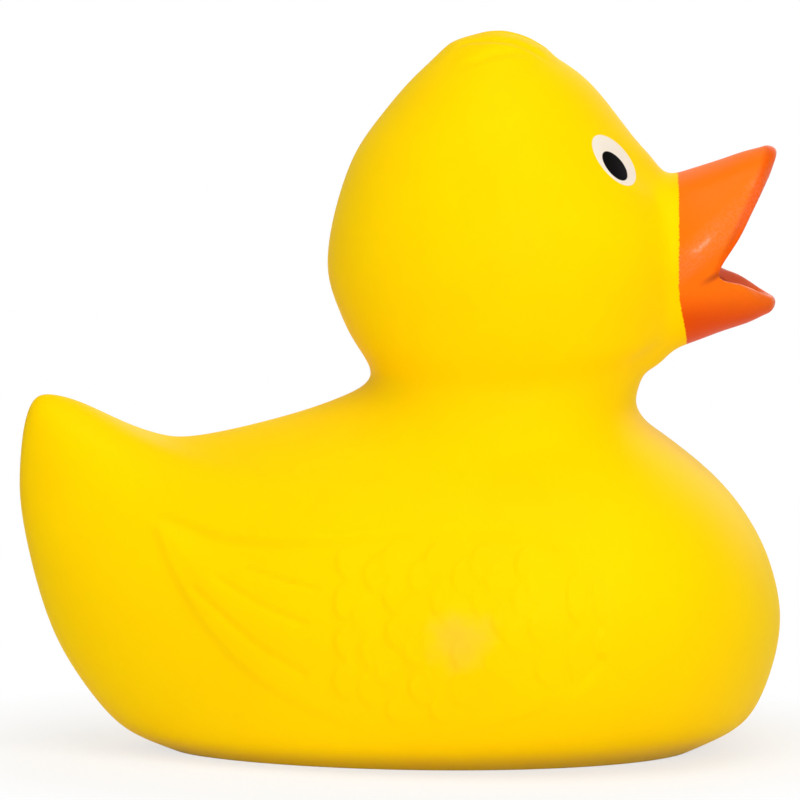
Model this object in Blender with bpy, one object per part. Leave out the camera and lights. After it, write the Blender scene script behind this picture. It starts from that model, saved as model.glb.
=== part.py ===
# Rubber bath duck for Blender 4.5: a hollow soft-vinyl moulding with a press-in squeaker in its base.
# Metres, +Z up. The beak points to +X, and the origin is on the floor under the middle of the duck.
#
# The skin is one loft. Its ribs run from the edge of the flat base up over flank, tail, back, neck and
# head to the crown. The beak is drawn out of a patch of quads on the face, and a smooth skin is fitted
# through all of the ribs. The wings are a low relief on the flanks, and the inside is cut out as one cavity.

import math
from collections import namedtuple

import bmesh
import bpy
import numpy as np
from mathutils import Vector
from mathutils.bvhtree import BVHTree

MM = 0.001

# Base colour and roughness
YELLOW_VINYL = ((1.0, 0.73, 0.0), 0.4)
WHITE_PLASTIC = ((0.85, 0.85, 0.82), 0.35)

# Vinyl shell and its moulding hole, in millimetres
WALL = 2.2
HOLE_RADIUS = 6.0
HOLE_X = 3.0
RECESS_RADIUS = 8.4  # shallow recess round the hole, for the flange of the squeaker
RECESS_DEPTH = 1.2

# Squeaker
FIT_GAP = 0.3  # clearance to the vinyl all round
FLANGE_THICKNESS = 0.7
BEAD_REACH = 1.0  # how far the bead inside the duck reaches past the edge of the hole
BEAD_HEIGHT = 1.6
AIR_BORE_RADIUS = 1.2

# Beak: x, z of the corners and tips of the open mouth on its outer edge
MOUTH_CORNER = (41.8, 63.1)
MOUTH_CORNER_HALF_WIDTH = 10.2
UPPER_TIP = (48.55, 79.4)
LOWER_TIP = (49.0, 58.05)
UPPER_BOW = 0.7  # how far the edge of the upper beak bows forward between tip and corner
LIP_THICKNESS = 0.9
UPPER_LIP = (0.45, -1.5)  # x, z from the outer to the inner edge at the tip
LOWER_LIP = (-0.7, 1.8)
PALATE_DEPTH = 2.6
TONGUE_DEPTH = 2.7
THROAT_DEPTH = 2.6
UPPER_SWELL = 1.5  # how far the sides of the beak swell outwards between face and mouth
LOWER_SWELL = 0.8
FOLD_SWELL = 0.1  # at the fold that runs back from the corner of the mouth
TIP_RISE = 0.3  # how far the top of the upper beak arches up behind its tip

# Wing relief on the flanks
WING_SUNK = 0.45  # depth below the flank along the shoulder edge
WING_PROUD = 0.55  # height above the flank along the trailing edge
WING_SPAN_SLOPE = 15.0  # distance over which the wing rises from sunk to proud
SHOULDER_EDGE = 3.2  # width of the soft step along the shoulder edge
TRAILING_EDGE = 1.5
QUILL_DEPTH = 0.35
QUILL_WIDTH = 0.8
FEATHER_STEP = 0.42  # how far the rounded rear end of one feather stands over the next
FEATHER_LENGTH = 3.4  # from the rear end forward to where a feather has sunk to the skin
FEATHER_ROUNDING = 2.2  # how far its rear end is rounded
FEATHER_EDGE = 0.7  # width of the edge of a feather
FEATHER_MARGIN = (0.5, 2.5)  # the feathers rise between these distances from the wing's edge
RELIEF_FADE = (4.0, 10.0)  # the relief dies out between these heights

# Swirl of feathers on the crown
TUFT_HEIGHT = 0.35
TUFT_LENGTH = 17.0
TUFT_WIDTH = 12.0
TUFT_PLATEAU = 0.6  # share of the swirl that has its full height

# A station is one rib, given by where it crosses the centre plane behind and in front (x, z), by its widest
# point on the flank (x, half width, z), and by how much its rear is pinched into a tail.
Station = namedtuple("Station", "name back flank front pinch")
STATIONS = (
    Station("base edge", (-30.8, 0.0), (6.0, 26.8, 0.0), (39.4, 0.0), 0.15),
    Station("bilge", (-37.5, 3.8), (8.0, 32.0, 3.3), (45.2, 3.7), 0.22),
    Station("low flank", (-45.1, 14.5), (11.0, 36.4, 9.8), (48.6, 9.9), 0.34),
    Station("waterline", (-49.2, 28.1), (13.0, 39.0, 17.5), (49.98, 17.8), 0.44),
    Station("tail rear", (-49.9, 37.8), (13.5, 38.9, 24.6), (48.1, 25.8), 0.50),
    Station("tail tip", (-47.9, 46.1), (13.5, 36.4, 30.4), (44.3, 32.3), 0.52),
    Station("tail top", (-41.6, 45.5), (13.5, 32.6, 34.8), (39.9, 36.9), 0.48),
    Station("tail root", (-31.0, 41.1), (13.5, 27.4, 38.3), (35.2, 40.7), 0.34),
    Station("back", (-18.5, 42.85), (13.5, 22.2, 41.3), (32.3, 43.1), 0.12),
    Station("neck root", (-6.8, 46.7), (13.6, 18.2, 44.7), (31.0, 45.9), 0.0),
    Station("neck", (-3.9, 49.8), (13.8, 17.0, 49.0), (32.0, 49.2), 0.0),
    Station("chin", (-6.5, 54.6), (14.2, 19.0, 53.8), (36.3, 52.2), 0.0),
    Station("mouth", (-9.3, 61.9), (14.6, 21.3, 61.4), (37.8, 60.8), 0.0),
    Station("cheek", (-8.9, 69.2), (14.4, 21.6, 69.0), (37.9, 68.8), 0.0),
    Station("brow", (-6.3, 77.5), (14.2, 19.8, 76.9), (35.1, 75.6), 0.0),
    Station("forehead", (-3.0, 83.1), (13.7, 16.6, 82.6), (31.0, 80.5), 0.0),
    Station("crown side", (1.4, 88.6), (13.2, 12.2, 88.4), (24.9, 88.1), 0.0),
    Station("crown edge", (6.5, 92.8), (12.8, 6.6, 92.7), (18.4, 92.6), 0.0),
)
CROWN = (12.6, 94.55)  # x, z of the highest point
CROWN_EDGE = 86.0  # the swirl of feathers stands above this height
TAIL_CLIMB = 13.0  # how late a rib climbs to the tail
TAIL_REACH = 3.4  # how little of the flank the pinch of the tail takes in

# The wing's outline on the flank (x, z), from its rear tip along the shoulder to the front, and back below
WING_OUTLINE = (
    (-32.2, 33.0), (-22.0, 31.0), (-10.5, 31.1), (1.4, 33.0), (12.4, 33.9), (19.5, 32.2),
    (25.4, 28.6), (28.5, 22.4), (27.4, 15.8), (22.4, 11.0), (12.5, 6.3), (0.0, 4.2),
    (-8.5, 6.4), (-17.5, 10.7), (-25.0, 17.2), (-30.6, 25.8),
)
WING_TOP_POINTS = 9  # the first points of the outline make its shoulder edge
QUILLS = (
    ((-26.9, 23.6), (-18.6, 16.8), (-12.2, 13.3)),
    ((-24.0, 25.2), (-18.2, 22.0), (-12.2, 19.8)),
    ((-20.0, 26.5), (-15.6, 25.3), (-10.9, 24.3)),
    ((-20.8, 29.0), (-16.2, 28.9), (-11.7, 29.1)),
)
# Columns of small rounded feathers: x of their rear ends, half the height of a feather, middle heights
FEATHER_COLUMNS = (
    (-8.5, 2.7, (28.1, 22.9, 17.9, 12.8)),
    (-5.6, 2.7, (26.6, 21.6, 16.8, 12.0)),
    (-2.5, 2.6, (28.3, 24.0, 19.4, 14.4, 9.4)),
    (0.5, 2.6, (26.4, 21.7, 17.1, 12.4)),
    (3.2, 2.6, (28.5, 23.7, 18.9, 14.4, 9.8)),
    (6.0, 2.6, (26.7, 21.8, 17.0, 12.4)),
    (8.6, 2.6, (28.5, 23.8, 19.2, 14.6)),
    (11.2, 2.7, (26.6, 21.4, 16.4)),
    (14.0, 2.6, (28.4, 24.0, 19.2)),
    (16.8, 3.0, (26.4, 20.8, 15.2)),
    (20.9, 4.3, (24.4, 16.0)),
    (24.8, 4.3, (24.4, 16.4)),
)

# Mesh
COLUMNS = 24
RIBS_PER_SPAN = 2
FIT_ROUNDS = 6
SKIN_LEVELS = 1
FINE_LEVELS = 3
WING_SEGMENTS_ALONG = 4  # a quad of the skin is divided into this many where the wing is
WING_SEGMENTS_UP = 2
WING_LOWEST = 13.5  # the skin is not divided finer below this height
WING_SHOULDER = 30.4  # above this height its rows are low enough not to be divided again
CAVITY_STEP = 2  # the inside follows every second rib
ROUND_SEGMENTS = 24
CUTTER_SPARE = 1.0  # how far the cutter of the hole reaches past the vinyl

# The patch of quads on the face that becomes the beak
BEAK_COLUMNS = 2  # to each side of the centre plane
BEAK_FIRST_RIB = 11 * RIBS_PER_SPAN
BEAK_LAST_RIB = 14 * RIBS_PER_SPAN
BEAK_ROWS = BEAK_LAST_RIB - BEAK_FIRST_RIB
CORNER_ROW = BEAK_ROWS // 3
BEAK_STEPS = (0.22, 0.5, 0.74, 0.9, 1.0)  # loops between the face and the rim of the mouth
ROOT_FADE = 3  # ribs over which the rounding of the beak's root dies out
ROOT_COLUMNS = 4  # columns over which it dies out sideways
ROOT_NARROWING = 0.3  # how much narrower the root is at chin and brow
ROOT_ARCH = 0.18  # how far the corners of the root close in on its middle height
ROOT_HEIGHT = 64.4  # middle height of the root


def spline(values, t):
    """Smooth curve through evenly spaced values, at t counted in values."""
    last = len(values) - 1
    i = min(int(t), last - 1)
    f = t - i
    before = values[i - 1] if i > 0 else 2 * values[0] - values[1]
    after = values[i + 2] if i + 2 <= last else 2 * values[last] - values[last - 1]
    a = values[i]
    b = values[i + 1]
    square = 2 * before - 5 * a + 4 * b - after
    cube = 3 * (a - b) + after - before
    return a + 0.5 * f * (b - before + f * (square + f * cube))


def smooth_step(low, high, value):
    share = min(max((value - low) / (high - low), 0.0), 1.0)
    return share * share * (3 - 2 * share)


def root_rounding(rib, column):
    """How far a point takes part in rounding the beak's root.

    The second number is where its rib lies, from 0 at the chin to 1 at the brow.
    """
    before = BEAK_FIRST_RIB - rib
    beyond = rib - BEAK_LAST_RIB
    to_front = min(column, COLUMNS - column)
    part = smooth_step(ROOT_FADE, 0, max(before, beyond, 0))
    part *= smooth_step(BEAK_COLUMNS + ROOT_COLUMNS, BEAK_COLUMNS, to_front)
    share = min(max(-before / BEAK_ROWS, 0.0), 1.0)
    return part, share


def rib_points(rib):
    """Points of one rib, from the front round the +Y flank to the rear and back along the other flank.

    Beside the beak the columns close in at chin and brow, which rounds its root.
    """
    numbers = np.array([[*s.back, *s.flank, *s.front, s.pinch] for s in STATIONS])
    xb, zb, xs, width, zs, xf, zf, pinch = spline(numbers, rib / RIBS_PER_SPAN)
    middle = (xf + xb) / 2
    reach = (xf - xb) / 2
    skew = (middle - xs) / 2
    points = []
    for column in range(COLUMNS):
        part, share = root_rounding(rib, column)
        angle = 2 * math.pi * (column if column <= COLUMNS // 2 else column - COLUMNS) / COLUMNS
        angle *= 1 - part * ROOT_NARROWING * (2 * share - 1) ** 2
        ahead = (1 + math.cos(angle)) / 2
        behind = 1 - ahead
        x = (middle + xs) / 2 + reach * math.cos(angle) + skew * math.cos(2 * angle)
        y = width * math.sin(angle) * (1 - pinch * behind**TAIL_REACH)
        z = zs + (zf - zs) * ahead**2 + (zb - zs) * behind**TAIL_CLIMB
        off_centre = min(min(column, COLUMNS - column) / BEAK_COLUMNS, 1.0)
        z -= part * ROOT_ARCH * off_centre**2 * (z - ROOT_HEIGHT)
        points.append(Vector((x, y, z)))
    return points


def all_ribs():
    return [rib_points(rib) for rib in range((len(STATIONS) - 1) * RIBS_PER_SPAN + 1)]


def square_cell(ring, step):
    """Cell of a square net that a step round one of its rings reaches, from the front towards +Y."""
    if ring == 0:
        return (0, 0)
    side, along = divmod(step + ring, 2 * ring)
    along -= ring
    return ((ring, along), (-along, ring), (-ring, -along), (along, -ring))[side % 4]


def point_round(rib, turns):
    """Point of a closed rib at a share of the way round."""
    place = turns * len(rib)
    i = int(place)
    return rib[i % len(rib)].lerp(rib[(i + 1) % len(rib)], place - i)


def crown_cap(rib, verts, faces, first):
    """Closes the top with a square net of quads, domed over the last rib."""
    half = len(rib) // 8
    top = Vector((CROWN[0], 0, CROWN[1]))
    net = {square_cell(half, step): first + step for step in range(len(rib))}
    for ring in range(half):
        share = ring / half
        for step in range(max(8 * ring, 1)):
            spot = point_round(rib, step / max(8 * ring, 1))
            place = top.lerp(spot, share)
            place.z = top.z - (top.z - spot.z) * share**2
            net[square_cell(ring, step)] = len(verts)
            verts.append(place)
    for a in range(-half, half):
        for b in range(-half, half):
            faces.append([net[(a, b)], net[(a + 1, b)], net[(a + 1, b + 1)], net[(a, b + 1)]])


def patch_edge():
    """Rows and columns round the edge of the beak's patch."""
    side = BEAK_COLUMNS
    keys = [(0, c) for c in range(-side, side + 1)]
    keys += [(r, side) for r in range(1, BEAK_ROWS + 1)]
    keys += [(BEAK_ROWS, c) for c in range(side - 1, -side - 1, -1)]
    keys += [(r, -side) for r in range(BEAK_ROWS - 1, 0, -1)]
    return keys


def rim_share(row, column):
    """How far a place on the edge of the patch is from the tip of its half of the beak, 1 at the corner."""
    row_from_tip = row if row <= CORNER_ROW else BEAK_ROWS - row
    rows_to_corner = CORNER_ROW if row <= CORNER_ROW else BEAK_ROWS - CORNER_ROW
    from_tip = abs(column) if row_from_tip == 0 else BEAK_COLUMNS + row_from_tip
    return from_tip / (BEAK_COLUMNS + rows_to_corner)


def rim_point(row, column):
    """Point on the outer edge of the open mouth for a place on the edge of the patch."""
    lower = row <= CORNER_ROW
    tip = LOWER_TIP if lower else UPPER_TIP
    share = rim_share(row, column)
    turn = share * math.pi / 2
    bow = 0 if lower else UPPER_BOW * math.sin(2 * turn)
    x = MOUTH_CORNER[0] + (tip[0] - MOUTH_CORNER[0]) * math.cos(turn) + bow
    z = MOUTH_CORNER[1] + (tip[1] - MOUTH_CORNER[1]) * math.cos(turn)
    y = MOUTH_CORNER_HALF_WIDTH * (share if lower else math.sin(turn))
    return Vector((x, math.copysign(y, column) if column else 0.0, z))


def patch_vertex(row, column):
    return (BEAK_FIRST_RIB + row) * COLUMNS + column % COLUMNS


def bridge(loop, outer, keys, faces):
    for a, b in zip(keys, keys[1:] + keys[:1]):
        faces.append([loop[a], loop[b], outer[b], outer[a]])


def beak_sides(keys, verts, faces):
    """Loops from the face out to the rim of the mouth. Returns the last one."""
    loop = {key: patch_vertex(*key) for key in keys}
    for step in BEAK_STEPS:
        swell_here = math.sin(math.pi * step)
        outer = {}
        for row, column in keys:
            rim = rim_point(row, column)
            place = verts[patch_vertex(row, column)].lerp(rim, step)
            swell = UPPER_SWELL if row > CORNER_ROW else LOWER_SWELL
            if row == CORNER_ROW:
                swell = FOLD_SWELL
            place.y += swell * swell_here * rim.y / MOUTH_CORNER_HALF_WIDTH
            if row == BEAK_ROWS:
                place.z += TIP_RISE * math.sin(math.pi * step**3)
            outer[(row, column)] = len(verts)
            verts.append(place)
        bridge(loop, outer, keys, faces)
        loop = outer
    return loop


def lip_inner_edge(row, column):
    """Point on the inner edge of the lip, which is thicker at the tips than at the sides."""
    rim = rim_point(row, column)
    turn = rim_share(row, column) * math.pi / 2
    lip = LOWER_LIP if row <= CORNER_ROW else UPPER_LIP
    at_tip = Vector((lip[0], 0, lip[1])) * math.cos(turn)
    at_side = Vector((0, LIP_THICKNESS, 0)) * math.sin(turn)
    return rim + at_tip - at_side * math.copysign(1, rim.y)


def add_beak(verts, faces):
    """Draws the patch on the face out to the rim of the mouth, turns the lip and hollows the mouth."""
    keys = patch_edge()
    rim = beak_sides(keys, verts, faces)
    inner = {}
    for key in keys:
        inner[key] = len(verts)
        verts.append(lip_inner_edge(*key))
    bridge(rim, inner, keys, faces)

    corner = Vector((MOUTH_CORNER[0], 0, MOUTH_CORNER[1]))
    upper = Vector((UPPER_TIP[0], 0, UPPER_TIP[1])) - corner
    lower = Vector((LOWER_TIP[0], 0, LOWER_TIP[1])) - corner
    into_palate = Vector((-upper.z, 0, upper.x)).normalized() * PALATE_DEPTH
    into_tongue = Vector((lower.z, 0, -lower.x)).normalized() * TONGUE_DEPTH
    into_throat = Vector((-THROAT_DEPTH, 0, 0))
    for row in range(1, BEAK_ROWS):
        depth = into_throat
        if row != CORNER_ROW:
            depth = into_tongue if row < CORNER_ROW else into_palate
        side = lip_inner_edge(row, BEAK_COLUMNS)
        for column in range(1 - BEAK_COLUMNS, BEAK_COLUMNS):
            across = column / BEAK_COLUMNS
            place = side + depth * (1 - across**2)
            place.y = side.y * across
            verts[patch_vertex(row, column)] = place
            inner[(row, column)] = patch_vertex(row, column)
    for row in range(BEAK_ROWS):
        for column in range(-BEAK_COLUMNS, BEAK_COLUMNS):
            cell = [(row, column), (row, column + 1), (row + 1, column + 1), (row + 1, column)]
            faces.append([inner[key] for key in cell])


def skin_cage(ribs, with_beak):
    """Vertices and quads of the closed skin through these ribs."""
    verts = [point.copy() for rib in ribs for point in rib]
    faces = [list(range(COLUMNS))[::-1]]
    for i in range(len(ribs) - 1):
        for column in range(COLUMNS):
            ahead = min(column, COLUMNS - 1 - column)
            if with_beak and BEAK_FIRST_RIB <= i < BEAK_LAST_RIB and ahead < BEAK_COLUMNS:
                continue
            a = i * COLUMNS + column
            b = i * COLUMNS + (column + 1) % COLUMNS
            faces.append([a, b, b + COLUMNS, a + COLUMNS])
    crown_cap(ribs[-1], verts, faces, (len(ribs) - 1) * COLUMNS)
    if with_beak:
        add_beak(verts, faces)
    return verts, faces


def closed_outline(points, steps=4):
    """Points along a smooth closed curve through the given ones."""
    looped = [Vector(p) for p in (*points[-1:], *points, *points[:2])]
    return [spline(looped, 1 + i / steps) for i in range(len(points) * steps)]


def distance_to(line, point):
    """Distance from a point to a chain of short straight runs, and the number of the nearest run."""
    nearest = (math.inf, 0)
    for i, (a, b) in enumerate(zip(line, line[1:])):
        along = b - a
        share = min(max((point - a).dot(along) / along.length_squared, 0.0), 1.0)
        nearest = min(nearest, ((point - a - share * along).length, i))
    return nearest


def inside(line, point):
    """Whether a point lies inside a closed chain."""
    within = False
    for a, b in zip(line, line[1:]):
        if (a.y > point.y) != (b.y > point.y):
            if point.x < a.x + (b.x - a.x) * (point.y - a.y) / (b.y - a.y):
                within = not within
    return within


class Wing:
    """The relief of one wing, as a height over the flank at a place x, z."""

    def __init__(self):
        outline = closed_outline(WING_OUTLINE)
        self.outline = outline + outline[:1]
        self.top_runs = (WING_TOP_POINTS - 1) * len(outline) // len(WING_OUTLINE)
        self.top = self.outline[: self.top_runs + 1]
        self.quills = []
        for quill in QUILLS:
            start, middle, end = (Vector(p) for p in quill)
            curve = [spline([start, middle, end], i / 4) for i in range(9)]
            self.quills.append(curve)

    def feathers(self, place):
        """Rounded feathers, each lying over the one behind it and highest at its free rear end."""
        height = 0.0
        for rear, half_height, middles in FEATHER_COLUMNS:
            ahead = place.x - rear
            if not 0 < ahead < FEATHER_LENGTH:
                continue
            for middle in middles:
                behind_rounding = min(ahead / FEATHER_ROUNDING - 1, 0.0)
                outward = math.hypot(behind_rounding, (place.y - middle) / half_height)
                over = smooth_step(0.0, FEATHER_EDGE, (1 - outward) * FEATHER_ROUNDING)
                top = FEATHER_STEP * (1 - ahead / FEATHER_LENGTH)
                height = height * (1 - over) + top * over
        return height

    def height(self, x, z):
        place = Vector((x, z))
        if not inside(self.outline, place):
            return 0.0
        to_edge, run = distance_to(self.outline, place)
        to_top, _ = distance_to(self.top, place)
        edge_width = SHOULDER_EDGE if run < self.top_runs else TRAILING_EDGE
        rise = WING_SUNK + WING_PROUD
        height = -WING_SUNK + rise * smooth_step(0.0, WING_SPAN_SLOPE, to_top)
        height *= smooth_step(0.0, edge_width, to_edge)
        for quill in self.quills:
            away, _ = distance_to(quill, place)
            height -= QUILL_DEPTH * math.exp(-((away / QUILL_WIDTH) ** 2))
        zone = smooth_step(*FEATHER_MARGIN, to_top - SHOULDER_EDGE) * smooth_step(*FEATHER_MARGIN, to_edge)
        height += zone * self.feathers(place)
        return height * smooth_step(*RELIEF_FADE, z)


def tuft_height(x, y):
    """The low swirl of feathers on the crown."""
    along = (x - CROWN[0]) / (TUFT_LENGTH / 2)
    across = y / (TUFT_WIDTH / 2)
    return TUFT_HEIGHT * smooth_step(1.0, TUFT_PLATEAU, math.hypot(along, across))


def new_object(name, mesh):
    obj = bpy.data.objects.new(name, mesh)
    bpy.context.scene.collection.objects.link(obj)
    return obj


def closed_mesh(name, verts, faces):
    mesh = bpy.data.meshes.new(name)
    mesh.from_pydata([v * MM for v in verts], [], faces)
    bm = bmesh.new()
    bm.from_mesh(mesh)
    bmesh.ops.recalc_face_normals(bm, faces=bm.faces)
    bm.to_mesh(mesh)
    bm.free()
    return mesh


def smooth_skin(obj):
    """A smooth skin over the cage. The edge of the flat base stays crisp."""
    crease = obj.data.attributes.new("crease_edge", "FLOAT", "EDGE")
    for edge in obj.data.edges:
        if max(edge.vertices) < COLUMNS:
            crease.data[edge.index].value = 1.0
    smooth = obj.modifiers.new("Smooth skin", "SUBSURF")
    smooth.levels = SKIN_LEVELS
    smooth.render_levels = SKIN_LEVELS
    smooth.use_limit_surface = True
    return smooth


def evaluated(obj):
    bpy.context.view_layer.update()
    return obj.evaluated_get(bpy.context.evaluated_depsgraph_get())


def coordinates(mesh):
    points = np.empty(len(mesh.vertices) * 3)
    mesh.vertices.foreach_get("co", points)
    return points.reshape(-1, 3)


def fit_skin(obj):
    """Moves the cage until the smooth skin passes through the points that the cage had.

    The root of the beak is left as it is, so that beak and face run softly into each other.
    """
    aim = coordinates(obj.data)
    loose = [patch_vertex(*key) for key in patch_edge()]
    cage = aim.copy()
    for _ in range(FIT_ROUNDS):
        step = aim - coordinates(evaluated(obj).data)[: len(aim)]
        step[loose] = 0
        cage += step
        obj.data.vertices.foreach_set("co", cage.ravel())
        obj.data.update()


def surface_tree(obj, smooth):
    """The finely divided skin, to lay new points on."""
    smooth.levels = FINE_LEVELS
    mesh = evaluated(obj).data
    corners = [vert.co.copy() for vert in mesh.vertices]
    tree = BVHTree.FromPolygons(corners, [face.vertices[:] for face in mesh.polygons])
    smooth.levels = SKIN_LEVELS
    return tree


def runs_along(edge):
    """Whether an edge of the skin runs along the duck and not up its flank."""
    run = edge.verts[0].co - edge.verts[1].co
    return math.hypot(run.x, run.y) > abs(run.z)


def climbs_low(edge):
    """Whether an edge runs up the flank below the shoulder of the wing."""
    return not runs_along(edge) and max(vert.co.z for vert in edge.verts) < WING_SHOULDER * MM


def add_relief(mesh, tree):
    """Divides the skin where the wings are, lays the new points on the fine skin and raises the relief."""
    wing = Wing()
    bm = bmesh.new()
    bm.from_mesh(mesh)
    on_wing = []
    for face in bm.faces:
        x, _, z = (v / MM for v in face.calc_center_median())
        if z > WING_LOWEST and inside(wing.outline, Vector((x, z))):
            on_wing.append(face)
    edges = {edge for face in on_wing for edge in face.edges}
    along = [edge for edge in edges if runs_along(edge)]
    first = bmesh.ops.subdivide_edges(bm, edges=along, cuts=WING_SEGMENTS_ALONG - 1, use_grid_fill=True)
    made = {item for item in first["geom_inner"] if isinstance(item, bmesh.types.BMEdge)}
    up = [edge for edge in edges | made if edge.is_valid and climbs_low(edge)]
    second = bmesh.ops.subdivide_edges(bm, edges=up, cuts=WING_SEGMENTS_UP - 1, use_grid_fill=True)
    for item in {*first["geom_inner"], *second["geom_inner"]}:
        if isinstance(item, bmesh.types.BMVert) and item.is_valid:
            item.co = tree.find_nearest(item.co)[0]
    bm.normal_update()
    for vert in bm.verts:
        x, y, z = (v / MM for v in vert.co)
        rise = tuft_height(x, y) if z > CROWN_EDGE else wing.height(x, z)
        vert.co += vert.normal * rise * MM
    bmesh.ops.triangulate(bm, faces=[f for f in bm.faces if len(f.verts) > 4])
    bm.to_mesh(mesh)
    bm.free()


def vinyl_shell():
    """The duck's outer skin, with its wings."""
    ribs = all_ribs()
    cage = new_object("skin_cage", closed_mesh("skin_cage", *skin_cage(ribs, True)))
    smooth = smooth_skin(cage)
    fit_skin(cage)
    tree = surface_tree(cage, smooth)
    mesh = bpy.data.meshes.new_from_object(evaluated(cage))
    bpy.data.objects.remove(cage)
    mesh.name = "duck_body"
    add_relief(mesh, tree)
    return new_object("duck_body", mesh)


def cavity():
    """The inside of the shell: the ribs without the beak, moved in by the wall."""
    ribs = all_ribs()
    skin = closed_mesh("rib_skin", *skin_cage(ribs, False))
    bm = bmesh.new()
    bm.from_mesh(skin)
    bm.verts.ensure_lookup_table()
    for vert in bm.verts:
        vert.co -= vert.normal * WALL * MM
        vert.co.z = max(vert.co.z, WALL * MM)
    bm.to_mesh(skin)
    bm.free()
    points = [v.co / MM for v in skin.vertices]
    inner = [points[i * COLUMNS : (i + 1) * COLUMNS] for i in range(0, len(ribs), CAVITY_STEP)]
    verts = [p for rib in inner for p in rib]
    faces = [list(range(COLUMNS))[::-1], list(range(len(verts) - COLUMNS, len(verts)))]
    for i in range(len(inner) - 1):
        for column in range(COLUMNS):
            a = i * COLUMNS + column
            b = i * COLUMNS + (column + 1) % COLUMNS
            faces.append([a, b, b + COLUMNS, a + COLUMNS])
    for point in inner[0]:
        point.z = WALL
    return new_object("cavity", closed_mesh("cavity", verts, faces))


def lathe(name, profile, x):
    """Turns a closed profile of r, z points about a vertical axis at x."""
    verts = []
    faces = []
    count = len(profile)
    for segment in range(ROUND_SEGMENTS):
        angle = 2 * math.pi * segment / ROUND_SEGMENTS
        verts += [Vector((x + r * math.cos(angle), r * math.sin(angle), z)) for r, z in profile]
        other = (segment + 1) % ROUND_SEGMENTS
        for i in range(count):
            j = (i + 1) % count
            faces.append([segment * count + i, other * count + i, other * count + j, segment * count + j])
    mesh = closed_mesh(name, verts, faces)
    return new_object(name, mesh)


def hole_cutter():
    """The stepped hole through the base, from below the base to above its inner face."""
    verts = []
    faces = []
    rings = (
        (RECESS_RADIUS, -CUTTER_SPARE),
        (RECESS_RADIUS, RECESS_DEPTH),
        (HOLE_RADIUS, RECESS_DEPTH),
        (HOLE_RADIUS, WALL + CUTTER_SPARE),
    )
    for radius, z in rings:
        for segment in range(ROUND_SEGMENTS):
            angle = 2 * math.pi * segment / ROUND_SEGMENTS
            verts.append(Vector((HOLE_X + radius * math.cos(angle), radius * math.sin(angle), z)))
    for i in range(len(rings) - 1):
        for segment in range(ROUND_SEGMENTS):
            a = i * ROUND_SEGMENTS + segment
            b = i * ROUND_SEGMENTS + (segment + 1) % ROUND_SEGMENTS
            faces.append([a, b, b + ROUND_SEGMENTS, a + ROUND_SEGMENTS])
    faces.append(list(range(ROUND_SEGMENTS))[::-1])
    faces.append(list(range(len(verts) - ROUND_SEGMENTS, len(verts))))
    return new_object("hole_cutter", closed_mesh("hole_cutter", verts, faces))


def squeaker():
    """Plastic plug that snaps into the base, with a flange in the recess and a bead inside the duck."""
    face = RECESS_DEPTH - FIT_GAP - FLANGE_THICKNESS
    flange_top = RECESS_DEPTH - FIT_GAP
    bead_bottom = WALL + FIT_GAP
    bead_top = bead_bottom + BEAD_HEIGHT
    waist = HOLE_RADIUS - FIT_GAP
    flange = RECESS_RADIUS - FIT_GAP
    bead = HOLE_RADIUS + BEAD_REACH
    profile = (
        (AIR_BORE_RADIUS, face),
        (flange, face),
        (flange, flange_top),
        (waist, flange_top),
        (waist, bead_bottom),
        (bead, bead_bottom),
        (bead, bead_bottom + BEAD_HEIGHT / 3),
        (waist, bead_top),
        (AIR_BORE_RADIUS, bead_top),
    )
    return lathe("squeaker", profile, HOLE_X)


def cut_out(obj, cutter):
    cutter.hide_render = True
    cutter.hide_set(True)
    cutter.display_type = "WIRE"
    cut = obj.modifiers.new("Cut " + cutter.name, "BOOLEAN")
    cut.operation = "DIFFERENCE"
    cut.solver = "EXACT"
    cut.object = cutter


def give_material(obj, name, colour, roughness):
    material = bpy.data.materials.new(name)
    material.use_nodes = True
    shader = material.node_tree.nodes["Principled BSDF"]
    shader.inputs["Base Color"].default_value = (*colour, 1)
    shader.inputs["Roughness"].default_value = roughness
    shader.inputs["Metallic"].default_value = 0.0
    obj.data.materials.clear()
    obj.data.materials.append(material)


def main():
    for obj in list(bpy.data.objects):
        bpy.data.objects.remove(obj)
    body = vinyl_shell()
    cut_out(body, cavity())
    cut_out(body, hole_cutter())
    give_material(body, "yellow_vinyl", *YELLOW_VINYL)
    give_material(squeaker(), "white_plastic", *WHITE_PLASTIC)


main()
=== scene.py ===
# A rubber bath duck: the soft-vinyl moulding with its painted beak and eyes, and the squeaker in its base.
# Sizes are in millimetres, in the row's frame: the beak points to +X, +Z is up, the floor is at 0.

import math

import bmesh
import bpy
import numpy as np
from mathutils import Matrix, Vector
from mathutils.bvhtree import BVHTree


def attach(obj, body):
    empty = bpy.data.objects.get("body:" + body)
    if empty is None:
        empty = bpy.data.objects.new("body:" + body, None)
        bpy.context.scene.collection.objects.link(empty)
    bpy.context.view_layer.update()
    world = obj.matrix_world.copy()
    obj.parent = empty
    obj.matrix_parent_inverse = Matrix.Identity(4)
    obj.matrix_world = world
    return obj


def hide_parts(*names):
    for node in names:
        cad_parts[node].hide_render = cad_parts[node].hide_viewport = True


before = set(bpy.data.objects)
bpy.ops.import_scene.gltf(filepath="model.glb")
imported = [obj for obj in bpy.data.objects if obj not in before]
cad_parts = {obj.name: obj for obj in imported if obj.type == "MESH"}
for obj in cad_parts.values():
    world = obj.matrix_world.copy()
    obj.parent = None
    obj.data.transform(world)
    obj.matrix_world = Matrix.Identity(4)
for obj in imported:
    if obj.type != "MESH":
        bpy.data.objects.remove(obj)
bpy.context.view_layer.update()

mm = 0.001


# Shape helpers

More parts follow.
